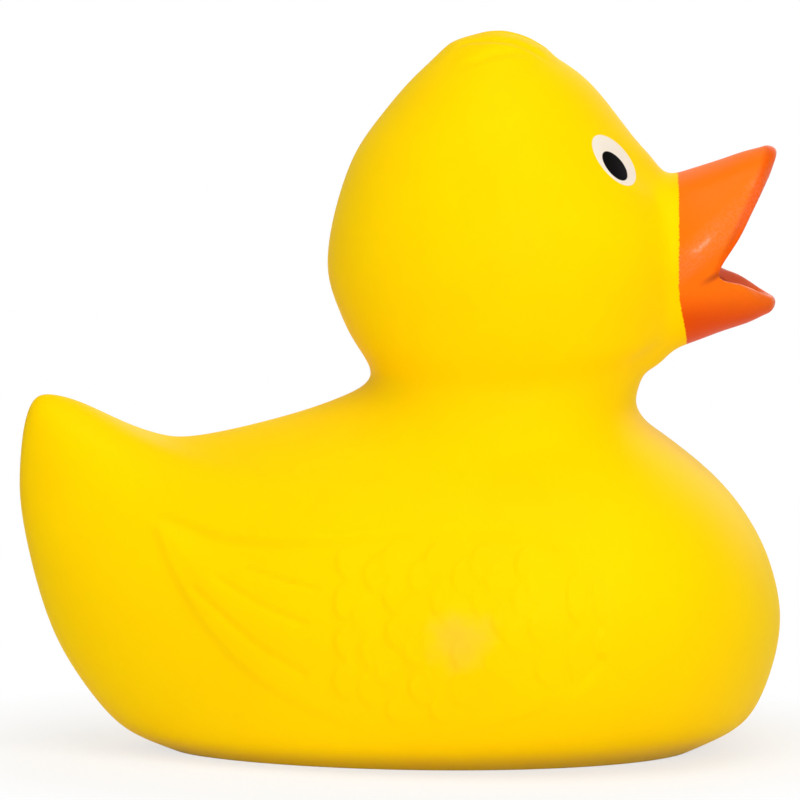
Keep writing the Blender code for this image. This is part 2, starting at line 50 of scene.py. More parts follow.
def spline(values, t):
    # smooth curve through evenly spaced values, t is counted in values
    last = len(values) - 1
    i = min(int(t), last - 1)
    f = t - i
    before = values[i - 1] if i > 0 else 2 * values[0] - values[1]
    after = values[i + 2] if i + 2 <= last else 2 * values[last] - values[last - 1]
    a = values[i]
    b = values[i + 1]
    square = 2 * before - 5 * a + 4 * b - after
    cube = 3 * (a - b) + after - before
    return a + 0.5 * f * (b - before + f * (square + f * cube))


def smoothStep(low, high, value):
    # works on single numbers and on arrays
    share = np.clip((value - low) / (high - low), 0.0, 1.0)
    return share * share * (3 - 2 * share)


def newObject(name, mesh):
    piece = bpy.data.objects.new(name, mesh)
    bpy.context.scene.collection.objects.link(piece)
    return piece


def closedMesh(name, points, faces):
    mesh = bpy.data.meshes.new(name)
    mesh.from_pydata([p * mm for p in points], [], faces)
    bm = bmesh.new()
    bm.from_mesh(mesh)
    bmesh.ops.recalc_face_normals(bm, faces=bm.faces)
    bm.to_mesh(mesh)
    bm.free()
    return mesh


def evaluated(piece):
    bpy.context.view_layer.update()
    return piece.evaluated_get(bpy.context.evaluated_depsgraph_get())


def coordinates(mesh):
    points = np.empty(len(mesh.vertices) * 3)
    mesh.vertices.foreach_get("co", points)
    return points.reshape(-1, 3)


# The duck's skin
# A rib crosses the centre plane behind and in front (x, z) and is widest on the flank (x, half width, z).
# The last number is how much its rear is pinched into a tail.

skin = {
    "ribs": (
        ((-30.0, 0.0), (6.0, 24.3, 0.0), (38.4, 0.0), 0.15),  # edge of the flat base
        ((-37.5, 3.8), (8.0, 31.7, 3.4), (45.2, 3.7), 0.22),
        ((-45.1, 14.5), (11.0, 36.4, 9.8), (48.6, 9.9), 0.34),
        ((-49.2, 28.1), (13.0, 39.0, 17.5), (49.95, 17.8), 0.44),  # waterline
        ((-49.88, 37.8), (13.5, 38.9, 24.6), (48.1, 25.8), 0.50),
        ((-47.9, 46.1), (13.5, 36.4, 30.4), (44.3, 32.3), 0.52),  # tip of the tail
        ((-41.6, 45.5), (13.5, 32.6, 34.8), (39.9, 36.9), 0.48),
        ((-31.0, 41.1), (13.5, 27.4, 38.3), (35.2, 40.7), 0.34),
        ((-18.5, 42.85), (13.5, 22.2, 41.3), (32.3, 43.1), 0.12),  # back
        ((-6.8, 46.7), (13.6, 18.2, 44.7), (31.0, 45.9), 0.0),
        ((-3.9, 49.8), (13.8, 17.0, 49.0), (32.3, 49.6), 0.0),  # neck
        ((-6.5, 54.6), (14.2, 19.0, 53.8), (35.9, 52.55), 0.0),
        ((-9.3, 61.9), (14.6, 21.3, 61.4), (37.8, 60.8), 0.0),  # mouth
        ((-8.9, 69.2), (14.4, 21.6, 69.0), (37.9, 68.8), 0.0),
        ((-6.3, 77.5), (14.2, 19.8, 76.9), (34.9, 75.4), 0.0),  # brow
        ((-2.8, 83.0), (13.7, 16.6, 82.5), (30.8, 80.35), 0.0),
        ((1.8, 88.4), (13.2, 12.2, 88.1), (24.65, 87.9), 0.0),
        ((6.5, 92.8), (12.8, 6.6, 92.7), (18.15, 92.5), 0.0),  # edge of the crown
    ),
    "crown": (12.6, 94.3),
    "tailClimb": 13.0,  # the higher, the later a rib climbs to the ridge of the tail
    "tailReach": 3.4,  # the higher, the shorter the pinched part
    "columns": 24,
    "ribsPerSpan": 2,
    "fitRounds": 6,
    "levels": 3,
    "fineLevels": 4,  # for the surface that the finer cuts on the wings are laid on
    "wall": 2.2,
    "baseRounding": 0.5,
    "baseEdge": (0.6, 0.1),  # its edges bend by more than this, in radians, and lie below this height
    "sharpAngle": 50.0,
}

beak = {
    "mouthCorner": (41.4, 63.3),  # x, z on the outer edge of the open mouth
    "cornerHalfWidth": 10.2,
    "upperTip": (48.55, 79.4),
    "lowerTip": (49.0, 58.05),
    "upperBow": 0.35,  # how far the upper rim bows forward
    "lipThickness": 0.9,
    "upperLip": (0.45, -1.5),  # from outer to inner edge at the tip
    "lowerLip": (-0.7, 1.8),
    "palateDepth": 2.6,
    "tongueDepth": 2.7,
    "throatDepth": 2.6,
    "upperSwell": 1.5,
    "lowerSwell": 0.8,
    "foldSwell": 0.1,
    "tipRise": 0.3,  # how far the top of the upper beak arches up behind its tip
    "tipDrop": 0.5,  # and how far the underside of the lower beak hangs below a straight line
    "columns": 2,  # half the width of the patch of quads that becomes the beak
    "firstRib": 22,
    "lastRib": 28,
    "loops": (0.22, 0.5, 0.74, 0.9, 1.0),  # shares of the way from the face to the rim
    "rootFade": 3,  # ribs below and above the patch over which the rounding of the root fades
    "rootColumns": 4,  # and columns beside it
    "rootNarrowing": 0.3,  # how much narrower the patch gets at chin and brow
    "rootArch": 0.18,  # how much its sides are drawn towards rootHeight
    "rootHeight": 64.4,
    "rootSpan": ((31.5, 37.0), (47.5, 80.0)),  # x and z between which the root is smoothed
    "rootPasses": 10,
}
beak["rows"] = beak["lastRib"] - beak["firstRib"]
beak["cornerRow"] = beak["rows"] // 3


def rootRounding(rib, column):
    # how far a point takes part in rounding the beak's root, and where its rib lies from chin 0 to brow 1
    before = beak["firstRib"] - rib
    beyond = rib - beak["lastRib"]
    toFront = min(column, skin["columns"] - column)
    part = smoothStep(beak["rootFade"], 0, max(before, beyond, 0))
    part *= smoothStep(beak["columns"] + beak["rootColumns"], beak["columns"], toFront)
    share = min(max(-before / beak["rows"], 0.0), 1.0)
    return part, share


def ribPoints(rib):
    # from the front round the +Y flank to the rear and back along the other flank
    numbers = np.array([[*back, *flank, *front, pinch] for back, flank, front, pinch in skin["ribs"]])
    xb, zb, xs, width, zs, xf, zf, pinch = spline(numbers, rib / skin["ribsPerSpan"])
    middle = (xf + xb) / 2
    reach = (xf - xb) / 2
    skew = (middle - xs) / 2
    columns = skin["columns"]
    points = []
    for column in range(columns):
        part, share = rootRounding(rib, column)
        angle = 2 * math.pi * (column if column <= columns // 2 else column - columns) / columns
        angle *= 1 - part * beak["rootNarrowing"] * (2 * share - 1) ** 2
        ahead = (1 + math.cos(angle)) / 2
        behind = 1 - ahead
        x = (middle + xs) / 2 + reach * math.cos(angle) + skew * math.cos(2 * angle)
        y = width * math.sin(angle) * (1 - pinch * behind ** skin["tailReach"])
        z = zs + (zf - zs) * ahead**2 + (zb - zs) * behind ** skin["tailClimb"]
        offCentre = min(min(column, columns - column) / beak["columns"], 1.0)
        z -= part * beak["rootArch"] * offCentre**2 * (z - beak["rootHeight"])
        points.append(Vector((x, y, z)))
    return points


def allRibs():
    return [ribPoints(rib) for rib in range((len(skin["ribs"]) - 1) * skin["ribsPerSpan"] + 1)]


def squareCell(ring, step):
    # cell of a square net that a step round one of its rings reaches
    if ring == 0:
        return (0, 0)
    side, along = divmod(step + ring, 2 * ring)
    along -= ring
    return ((ring, along), (-along, ring), (-ring, -along), (along, -ring))[side % 4]


def crownCap(rib, points, faces, first):
    # closes the top with a square net of quads, domed over the last rib
    half = len(rib) // 8
    top = Vector((skin["crown"][0], 0, skin["crown"][1]))
    net = {squareCell(half, step): first + step for step in range(len(rib))}
    for ring in range(half):
        share = ring / half
        for step in range(max(8 * ring, 1)):
            turn = step / max(8 * ring, 1) * len(rib)
            i = int(turn)
            spot = rib[i % len(rib)].lerp(rib[(i + 1) % len(rib)], turn - i)
            place = top.lerp(spot, share)
            place.z = top.z - (top.z - spot.z) * share**2
            net[squareCell(ring, step)] = len(points)
            points.append(place)
    for a in range(-half, half):
        for b in range(-half, half):
            faces.append([net[(a, b)], net[(a + 1, b)], net[(a + 1, b + 1)], net[(a, b + 1)]])


def patchEdge():
    # rows and columns round the edge of the beak's patch
    side = beak["columns"]
    rows = beak["rows"]
    keys = [(0, c) for c in range(-side, side + 1)]
    keys += [(r, side) for r in range(1, rows + 1)]
    keys += [(rows, c) for c in range(side - 1, -side - 1, -1)]
    keys += [(r, -side) for r in range(rows - 1, 0, -1)]
    return keys


def patchVertex(row, column):
    return (beak["firstRib"] + row) * skin["columns"] + column % skin["columns"]


def rimShare(row, column):
    # how far a place on the edge of the patch is from the tip of its half of the beak, 1 at the corner
    lower = row <= beak["cornerRow"]
    rowFromTip = row if lower else beak["rows"] - row
    rowsToCorner = beak["cornerRow"] if lower else beak["rows"] - beak["cornerRow"]
    fromTip = abs(column) if rowFromTip == 0 else beak["columns"] + rowFromTip
    return fromTip / (beak["columns"] + rowsToCorner)


def rimPoint(row, column):
    # on the outer edge of the open mouth
    lower = row <= beak["cornerRow"]
    tip = beak["lowerTip"] if lower else beak["upperTip"]
    corner = beak["mouthCorner"]
    share = rimShare(row, column)
    turn = share * math.pi / 2
    bow = 0 if lower else beak["upperBow"] * math.sin(2 * turn)
    x = corner[0] + (tip[0] - corner[0]) * math.cos(turn) + bow
    z = corner[1] + (tip[1] - corner[1]) * math.cos(turn)
    y = beak["cornerHalfWidth"] * (share if lower else math.sin(turn))
    return Vector((x, math.copysign(y, column) if column else 0.0, z))


def lipInnerEdge(row, column):
    # the lip is thicker at the tips than at the sides
    rim = rimPoint(row, column)
    turn = rimShare(row, column) * math.pi / 2
    lip = beak["lowerLip"] if row <= beak["cornerRow"] else beak["upperLip"]
    atTip = Vector((lip[0], 0, lip[1])) * math.cos(turn)
    atSide = Vector((0, beak["lipThickness"], 0)) * math.sin(turn)
    return rim + atTip - atSide * math.copysign(1, rim.y)


def bridge(loop, outer, keys, faces):
    for a, b in zip(keys, keys[1:] + keys[:1]):
        faces.append([loop[a], loop[b], outer[b], outer[a]])


def beakSides(keys, points, faces):
    # loops from the face out to the rim of the mouth
    loop = {key: patchVertex(*key) for key in keys}
    for step in beak["loops"]:
        swellHere = math.sin(math.pi * step)
        outer = {}
        for row, column in keys:
            rim = rimPoint(row, column)
            place = points[patchVertex(row, column)].lerp(rim, step)
            swell = beak["upperSwell"] if row > beak["cornerRow"] else beak["lowerSwell"]
            if row == beak["cornerRow"]:
                swell = beak["foldSwell"]
            place.y += swell * swellHere * rim.y / beak["cornerHalfWidth"]
            if row == beak["rows"]:
                place.z += beak["tipRise"] * math.sin(math.pi * step**3)
            if row == 0:
                place.z -= beak["tipDrop"] * math.sin(math.pi * step**3)
            outer[(row, column)] = len(points)
            points.append(place)
        bridge(loop, outer, keys, faces)
        loop = outer
    return loop


def addBeak(points, faces):
    # draws the patch on the face out to the rim of the mouth, turns the lip and hollows the mouth
    keys = patchEdge()
    rim = beakSides(keys, points, faces)
    inner = {}
    for key in keys:
        inner[key] = len(points)
        points.append(lipInnerEdge(*key))
    bridge(rim, inner, keys, faces)

    corner = Vector((beak["mouthCorner"][0], 0, beak["mouthCorner"][1]))
    upper = Vector((beak["upperTip"][0], 0, beak["upperTip"][1])) - corner
    lower = Vector((beak["lowerTip"][0], 0, beak["lowerTip"][1])) - corner
    intoPalate = Vector((-upper.z, 0, upper.x)).normalized() * beak["palateDepth"]
    intoTongue = Vector((lower.z, 0, -lower.x)).normalized() * beak["tongueDepth"]
    intoThroat = Vector((-beak["throatDepth"], 0, 0))
    side = beak["columns"]
    for row in range(1, beak["rows"]):
        depth = intoThroat
        if row != beak["cornerRow"]:
            depth = intoTongue if row < beak["cornerRow"] else intoPalate
        lip = lipInnerEdge(row, side)
        for column in range(1 - side, side):
            across = column / side
            place = lip + depth * (1 - across**2)
            place.y = lip.y * across
            points[patchVertex(row, column)] = place
            inner[(row, column)] = patchVertex(row, column)
    for row in range(beak["rows"]):
        for column in range(-side, side):
            cell = [(row, column), (row, column + 1), (row + 1, column + 1), (row + 1, column)]
            faces.append([inner[key] for key in cell])


def quadAbove(rib, column):
    # from a rib up to the next one
    columns = skin["columns"]
    a = rib * columns + column
    b = rib * columns + (column + 1) % columns
    return [a, b, b + columns, a + columns]


def skinCage(ribs, withBeak):
    columns = skin["columns"]
    points = [point.copy() for rib in ribs for point in rib]
    faces = [list(range(columns))[::-1]]
    for i in range(len(ribs) - 1):
        for column in range(columns):
            ahead = min(column, columns - 1 - column)
            inPatch = beak["firstRib"] <= i < beak["lastRib"] and ahead < beak["columns"]
            if not (withBeak and inPatch):
                faces.append(quadAbove(i, column))
    crownCap(ribs[-1], points, faces, (len(ribs) - 1) * columns)
    if withBeak:
        addBeak(points, faces)
    return points, faces


# Relief on the skin, as a height over it in millimetres

wing = {
    "outline": (  # x, z from the rear tip along the shoulder to the front, and back below
        (-32.2, 33.0), (-22.0, 31.0), (-10.5, 31.1), (1.4, 33.0), (12.4, 33.9), (19.5, 32.2),
        (25.4, 28.6), (28.5, 22.4), (27.4, 15.8), (22.4, 11.0), (12.5, 6.3), (0.0, 4.2),
        (-8.5, 6.4), (-17.5, 10.7), (-25.0, 17.2), (-30.6, 25.8),
    ),
    "topPoints": 9,  # the first points make the shoulder edge
    "sunk": 0.6,  # below the flank along the shoulder edge
    "proud": 0.34,  # above the flank along the trailing edge
    "spanSlope": (2.5, 14.0),  # how long its rise from sunk to proud is, at the rear tip and ahead of it
    "tipSpan": (-33.0, -15.0),  # x between which that length grows
    "shoulderEdge": (1.8, 3.2),  # width of the soft step behind and ahead
    "shoulderSpan": (-4.0, 6.0),  # x between which that width grows
    "trailingEdge": 1.5,  # width of the soft step below and at the rear
    "quills": (
        ((-26.9, 23.6), (-18.6, 16.8), (-12.2, 13.3)),
        ((-24.0, 25.2), (-18.2, 22.0), (-12.2, 19.8)),
        ((-20.0, 26.5), (-15.6, 25.3), (-10.9, 24.3)),
    ),
    "quillDepth": 0.27,
    "quillWidth": 0.3,
    "fade": (4.0, 9.0),  # the relief dies out between these heights
    "innermost": 8.0,  # the relief keeps this far from the centre plane
    "highest": 40.0,
    "cuts": 4,  # in each quad, for a finer net along the wing
    "cutMargin": 1.5,  # how far beyond the outline the net is finer
    "smoothPasses": 3,
}

feathers = {
    "columns": (  # x of the rear ends, half the height of a feather, middle heights
        (-8.5, 2.7, (28.1, 22.9, 17.9, 12.8)),
        (-5.6, 2.7, (26.6, 21.6, 16.8, 12.0)),
        (-2.5, 2.6, (28.3, 24.0, 19.4, 14.4, 9.4)),
        (0.5, 2.6, (26.4, 21.7, 17.1, 12.4)),
        (3.2, 2.6, (28.5, 23.7, 18.9, 14.4, 9.8)),
        (6.0, 2.6, (26.7, 21.8, 17.0, 12.4)),
        (8.6, 2.6, (28.5, 23.8, 19.2, 14.6)),
        (11.2, 2.7, (26.6, 21.4, 16.4)),
        (14.0, 2.6, (28.4, 24.0, 19.2)),
        (16.8, 3.0, (26.4, 20.8, 15.2)),
        (20.9, 4.3, (24.4, 16.0)),
        (24.8, 4.3, (24.4, 16.4)),
    ),
    "step": 0.27,  # height of a feather's rear end over the one behind it
    "length": 4.4,  # from the rear end forward to where a feather has sunk to the skin
    "rounding": 2.5,  # length of the rounded rear end
    "edge": 0.25,  # width of the soft step round it
    "unevenness": 0.7,  # how far single feathers stand before or behind their column
    "unevenTurn": 3.1,  # radians by which that changes for each millimetre of height
    "margin": (0.3, 1.8),  # the feathers rise between these distances from the wing's edge
}

tuft = {  # the lock of feathers on the crown: a low pad with grooves
    "centre": (12.6, 0.0),
    "halfLength": 8.4,
    "halfWidth": 10.5,
    "height": 0.35,
    "edge": (1.0, 0.72),  # it dies out between these shares of its size
    "depth": 8.0,  # how far below the top of the crown it is looked for
    "rise": (4.0, 19.0),  # x between which it rises out of the crown
    "locks": (  # grooves between its feathers, x and y
        ((5.0, -7.4), (10.0, -8.0), (16.0, -6.6)),
        ((8.5, -3.4), (13.5, -4.8), (19.0, -5.0)),
        ((8.0, 0.6), (14.0, -0.6), (20.0, 0.2)),
        ((8.0, 4.0), (13.5, 4.6), (19.0, 4.4)),
        ((5.0, 7.6), (10.0, 8.0), (16.0, 6.8)),
    ),
    "lockDepth": 0.3,
    "lockWidth": 0.7,
}

curveSteps = 6  # straight runs for each stretch of a curve


def distanceTo(line, x, z):
    # distance of many points to a chain of short straight runs, and the number of the nearest run
    best = np.full(len(x), 1e9)
    run = np.zeros(len(x), int)
    for i in range(len(line) - 1):
        a = line[i]
        along = line[i + 1] - a
        share = np.clip(((x - a[0]) * along[0] + (z - a[1]) * along[1]) / along.dot(along), 0, 1)
        away = np.hypot(x - a[0] - share * along[0], z - a[1] - share * along[1])
        nearer = away < best
        best[nearer] = away[nearer]
        run[nearer] = i
    return best, run


def insideOf(line, x, z):
    # which points lie inside a closed chain
    within = np.zeros(len(x), bool)
    for a, b in zip(line[:-1], line[1:]):
        spans = (a[1] > z) != (b[1] > z)
        if a[1] != b[1]:
            within ^= spans & (x < a[0] + (b[0] - a[0]) * (z - a[1]) / (b[1] - a[1]))
    return within


def wingOutline():
    # the outline as a closed chain, and the number of its runs along the shoulder edge
    corners = np.array(wing["outline"])
    looped = [*corners[-1:], *corners, *corners[:2]]
    line = [spline(looped, 1 + i / curveSteps) for i in range(len(corners) * curveSteps)]
    return np.array(line + line[:1]), (wing["topPoints"] - 1) * curveSteps


def grooveShare(bends, width, x, z):
    # 1 in the middle of a groove that runs through a few points in a smooth curve
    corners = [np.array(p) for p in bends]
    runs = curveSteps * (len(bends) - 1)
    curve = np.array([spline(corners, i / curveSteps) for i in range(runs + 1)])
    away, _ = distanceTo(curve, x, z)
    return np.exp(-((away / width) ** 2))


def featherHeight(x, z):
    # rounded feathers, each lying over the one behind it and highest at its free rear end
    height = np.zeros(len(x))
    for rear, halfHeight, middles in feathers["columns"]:
        for middle in middles:
            ahead = x - rear - feathers["unevenness"] * math.sin(feathers["unevenTurn"] * middle + rear)
            within = (ahead > 0) & (ahead < feathers["length"])
            top = feathers["step"] * (1 - ahead / feathers["length"])
            behind = np.minimum(ahead / feathers["rounding"] - 1, 0)
            depth = (1 - np.hypot(behind, (z - middle) / halfHeight)) * feathers["rounding"]
            over = smoothStep(0, feathers["edge"], depth) * within
            height = height * (1 - over) + top * over
    return height


def wingHeight(x, z):
    outline, topRuns = wingOutline()
    within = insideOf(outline, x, z)
    toEdge, run = distanceTo(outline, x, z)
    toTop, _ = distanceTo(outline[: topRuns + 1], x, z)
    narrow, wide = wing["shoulderEdge"]
    shoulder = narrow + (wide - narrow) * smoothStep(*wing["shoulderSpan"], x)
    edgeWidth = np.where(run < topRuns, shoulder, wing["trailingEdge"])
    short, long = wing["spanSlope"]
    slope = short + (long - short) * smoothStep(*wing["tipSpan"], x)
    rise = wing["sunk"] + wing["proud"]
    height = -wing["sunk"] + rise * smoothStep(0.0, 1.0, toTop / slope)
    height *= smoothStep(0.0, 1.0, toEdge / edgeWidth)
    for quill in wing["quills"]:
        height -= wing["quillDepth"] * grooveShare(quill, wing["quillWidth"], x, z)
    zone = smoothStep(*feathers["margin"], toTop - narrow / 2) * smoothStep(*feathers["margin"], toEdge)
    height += featherHeight(x, z) * zone
    return np.where(within, height, 0.0) * smoothStep(*wing["fade"], z)


def tuftHeight(x, y):
    along = (x - tuft["centre"][0]) / tuft["halfLength"]
    across = (y - tuft["centre"][1]) / tuft["halfWidth"]
    pad = smoothStep(*tuft["edge"], np.hypot(along, across))
    height = tuft["height"] * smoothStep(*tuft["rise"], x)
    for lock in tuft["locks"]:
        height = height - tuft["lockDepth"] * grooveShare(lock, tuft["lockWidth"], x, y)
    return height * pad


def runsAlong(edge):
    run = edge.verts[0].co - edge.verts[1].co
    return math.hypot(run.x, run.y) > abs(run.z)


def evenOut(bm, spots, passes):
    for _ in range(passes):
        bmesh.ops.smooth_vert(bm, verts=spots, factor=0.5, use_axis_x=True, use_axis_y=True, use_axis_z=True)


def cutWingsFiner(bm, tree):
    # more points along both wings, laid on the finer surface
    outline, _ = wingOutline()
    x, y, z = np.array([face.calc_center_median()[:] for face in bm.faces]).T / mm
    toEdge, _ = distanceTo(outline, x, z)
    near = insideOf(outline, x, z) | (toEdge < wing["cutMargin"])
    near &= (np.abs(y) > wing["innermost"]) & (z > wing["fade"][0]) & (z < wing["highest"])
    bm.faces.ensure_lookup_table()
    chosen = [bm.faces[i] for i in np.nonzero(near)[0]]
    edges = {edge for face in chosen for edge in face.edges}
    along = [edge for edge in edges if runsAlong(edge)]
    made = bmesh.ops.subdivide_edges(bm, edges=along, cuts=wing["cuts"], use_grid_fill=True)["geom_inner"]
    spots = [item for item in made if isinstance(item, bmesh.types.BMVert)]
    # a pass without cuts over the other edges makes some quads anew; their points stay as they were cut
    others = edges | {item for item in made if isinstance(item, bmesh.types.BMEdge)}
    upright = [edge for edge in others if edge.is_valid and not runsAlong(edge)]
    bmesh.ops.subdivide_edges(bm, edges=upright, cuts=0, use_grid_fill=True)
    spots = [vert for vert in spots if vert.is_valid]
    for vert in spots:
        vert.co = tree.find_nearest(vert.co)[0]
    evenOut(bm, spots, wing["smoothPasses"])


def softenRoot(bm):
    # evens out the skin behind the beak
    (rear, front), (bottom, top) = beak["rootSpan"]
    places = [(vert, vert.co / mm) for vert in bm.verts]
    spots = [vert for vert, place in places if rear < place.x < front and bottom < place.z < top]
    evenOut(bm, spots, beak["rootPasses"])


def roundBase(bm):
    # the edge round the flat base
    bend, top = skin["baseEdge"]
    low = [edge for edge in bm.edges if max(vert.co.z for vert in edge.verts) < top * mm]
    sharp = [edge for edge in low if edge.calc_face_angle(0) > bend]
    radius = skin["baseRounding"] * mm
    bmesh.ops.bevel(bm, geom=sharp, offset=radius, segments=3, profile=0.5, affect="EDGES")


def raiseRelief(mesh, tree):
    bm = bmesh.new()
    bm.from_mesh(mesh)
    softenRoot(bm)
    cutWingsFiner(bm, tree)
    bm.normal_update()
    x, y, z = np.array([vert.co[:] for vert in bm.verts]).T / mm
    height = np.where(z > skin["crown"][1] - tuft["depth"], tuftHeight(x, y), 0.0)
    onWing = (z < wing["highest"]) & (np.abs(y) > wing["innermost"])
    height[onWing] = wingHeight(x[onWing], z[onWing])
    for vert, rise in zip(bm.verts, height):
        vert.co += vert.normal * rise * mm
    roundBase(bm)
    bmesh.ops.triangulate(bm, faces=[face for face in bm.faces if len(face.verts) > 4])
    bm.to_mesh(mesh)
    bm.free()


# The hollow, and the hole that holds the squeaker

plug = {
    "x": 3.0,
    "holeRadius": 6.0,
    "recessRadius": 8.4,
    "recessDepth": 1.2,
    "holeSides": 64,
    "overshoot": 1.0,  # how far the cut goes past the wall
    "gap": 0.3,
    "flange": 0.7,
    "beadReach": 1.0,
    "beadHeight": 1.6,
    "airBore": 1.2,
    "groove": (4.4, 0.5, 0.25),  # radius, width and depth of the ring in its face
    "sides": 72,
    "edge": 0.1,
    "sharpAngle": 40.0,
    "white": (0.85, 0.85, 0.82, 1),
    "shade": (0.8, 0.8, 0.77, 1),
    "haze": 3.0,  # size of the faint patches
    "grain": 0.4,
    "bump": 0.1,
    "roughness": (0.3, 0.4),  # in the clear and in the hazy patches
}


def turned(name, profile, x, segments):
    # turns a chain of r, z points about a vertical axis; the chain closes on itself, or is capped at its ends
    count = len(profile)
    closed = profile[0] == profile[-1]
    points = []
    faces = []
    for segment in range(segments):
        angle = 2 * math.pi * segment / segments
        points += [Vector((x + r * math.cos(angle), r * math.sin(angle), z)) for r, z in profile]
        other = (segment + 1) % segments
        for i in range(count - 1):
            j = (i + 1) % (count - 1) if closed else i + 1
            faces.append([segment * count + i, other * count + i, other * count + j, segment * count + j])
    if not closed:
        faces.append([segment * count for segment in range(segments)])
        faces.append([segment * count + count - 1 for segment in range(segments)])
    return newObject(name, closedMesh(name, points, faces))


def makeCavity():
    # the measured ribs without the beak, moved in by the wall
    ribs = allRibs()
    columns = skin["columns"]
    wall = skin["wall"]
    mesh = closedMesh("innerSkin", *skinCage(ribs, False))
    points = [(v.co - v.normal * wall * mm) / mm for v in mesh.vertices]
    for point in points:
        point.z = max(point.z, wall)
    kept = [points[i * columns : (i + 1) * columns] for i in range(0, len(ribs), skin["ribsPerSpan"])]
    for point in kept[0]:
        point.z = wall
    inner = [point for rib in kept for point in rib]
    faces = [list(range(columns))[::-1], list(range(len(inner) - columns, len(inner)))]
    faces += [quadAbove(i, column) for i in range(len(kept) - 1) for column in range(columns)]
    return newObject("cavity", closedMesh("cavity", inner, faces))


def cutOut(piece, cutters):
    for cutter in cutters:
        cut = piece.modifiers.new("Cut " + cutter.name, "BOOLEAN")
        cut.operation = "DIFFERENCE"
        cut.solver = "EXACT"
        cut.object = cutter
    mesh = bpy.data.meshes.new_from_object(evaluated(piece))
    piece.modifiers.clear()
    piece.data = mesh
    for cutter in cutters:
        bpy.data.objects.remove(cutter)


def makeSkin():
    points, faces = skinCage(allRibs(), True)
    cage = newObject("skinCage", closedMesh("skinCage", points, faces))
    crease = cage.data.attributes.new("crease_edge", "FLOAT", "EDGE")
    for edge in cage.data.edges:
        if max(edge.vertices) < skin["columns"]:
            crease.data[edge.index].value = 1.0
    smooth = cage.modifiers.new("Smooth skin", "SUBSURF")
    smooth.use_limit_surface = True
    smooth.levels = 1
    # the cage moves until the smooth skin passes through the ribs; the beak's root is left soft
    aim = coordinates(cage.data)
    loose = [patchVertex(*key) for key in patchEdge()]
    fitted = aim.copy()
    for _ in range(skin["fitRounds"]):
        step = aim - coordinates(evaluated(cage).data)[: len(aim)]
        step[loose] = 0
        fitted += step
        cage.data.vertices.foreach_set("co", fitted.ravel())
        cage.data.update()
    smooth.levels = skin["fineLevels"]
    fine = evaluated(cage).data
    corners = [tuple(v) for v in coordinates(fine)]
    tree = BVHTree.FromPolygons(corners, [p.vertices[:] for p in fine.polygons])
    smooth.levels = skin["levels"]
    mesh = bpy.data.meshes.new_from_object(evaluated(cage))
    bpy.data.objects.remove(cage)
    mesh.name = "duckSkin"
    raiseRelief(mesh, tree)
    piece = newObject("duckSkin", mesh)
    hole = (
        (plug["recessRadius"], -plug["overshoot"]),
        (plug["recessRadius"], plug["recessDepth"]),
        (plug["holeRadius"], plug["recessDepth"]),
        (plug["holeRadius"], skin["wall"] + plug["overshoot"]),
    )
    cutOut(piece, [makeCavity(), turned("hole", hole, plug["x"], plug["holeSides"])])
    piece.data.name = "duckSkin"
    piece.data.shade_smooth()
    piece.data.set_sharp_from_angle(angle=math.radians(skin["sharpAngle"]))
    return piece


# Shaders

class Socket:
    # a socket whose sums and products add Math nodes
    def __init__(self, paint, socket):
        self.paint = paint
        self.socket = socket

    def math(self, operation, *terms):
        return self.paint.node("ShaderNodeMath", {"operation": operation}, dict(enumerate(terms)))["Value"]

    def __add__(self, other):
        return self.math("ADD", self, other)

    def __radd__(self, other):
        return self.math("ADD", other, self)

    def __sub__(self, other):
        return self.math("SUBTRACT", self, other)

    def __rsub__(self, other):
        return self.math("SUBTRACT", other, self)

    def __mul__(self, other):
        return self.math("MULTIPLY", self, other)

    def __rmul__(self, other):
        return self.math("MULTIPLY", other, self)

    def __truediv__(self, other):
        return self.math("DIVIDE", self, other)

    def __rtruediv__(self, other):
        return self.math("DIVIDE", other, self)

    def __abs__(self):
        return self.math("ABSOLUTE", self)

    def __pow__(self, power):
        return self.math("POWER", self, power)


class Paint:
    # a material or world, and the ways to put nodes in it
    def __init__(self, owner):
        self.owner = owner
        owner.use_nodes = True
        self.tree = owner.node_tree
        self.tree.nodes.clear()

    def node(self, kind, settings=None, sockets=None):
        made = self.tree.nodes.new(kind)
        for name, value in (settings or {}).items():
            setattr(made, name, value)
        for name, value in (sockets or {}).items():
            if isinstance(value, Socket):
                self.tree.links.new(value.socket, made.inputs[name])
            else:
                made.inputs[name].default_value = value
        return {out.name: Socket(self, out) for out in made.outputs if out.enabled}

    def place(self):
        # x, y, z of a point of the piece in millimetres
        spot = self.node("ShaderNodeTexCoord")["Object"]
        parts = self.node("ShaderNodeSeparateXYZ", {}, {"Vector": spot})
        return spot, parts["X"] * 1000, parts["Y"] * 1000, parts["Z"] * 1000

    def between(self, value, low, high, course="SMOOTHSTEP"):
        # 0 below low, 1 above high, soft between them
        settings = {"interpolation_type": course, "clamp": True}
        limits = {"Value": value, "From Min": low, "From Max": high}
        return self.node("ShaderNodeMapRange", settings, limits)["Result"]

    def noise(self, spot, size, detail=2.0):
        # 0 to 1, with features of about this size in millimetres
        sockets = {"Vector": spot, "Scale": 1000 / size, "Detail": detail}
        return self.node("ShaderNodeTexNoise", {}, sockets)["Fac"]

    def bumps(self, height, strength):
        # a normal for heights from 0 to a tenth of a millimetre
        sockets = {"Strength": strength, "Distance": 0.1 * mm, "Height": height}
        return self.node("ShaderNodeBump", {}, sockets)["Normal"]

    def blend(self, share, below, above):
        # one colour over another; a Mix node's colour sockets are its sixth and seventh
        sockets = {0: share, 6: below, 7: above}
        return self.node("ShaderNodeMix", {"data_type": "RGBA"}, sockets)["Result"]

    def finish(self, sockets):
        # the shader, its constants and links, and the output
        shader = self.node("ShaderNodeBsdfPrincipled", {}, sockets)["BSDF"]
        self.node("ShaderNodeOutputMaterial", {}, {"Surface": shader})
        return self.owner


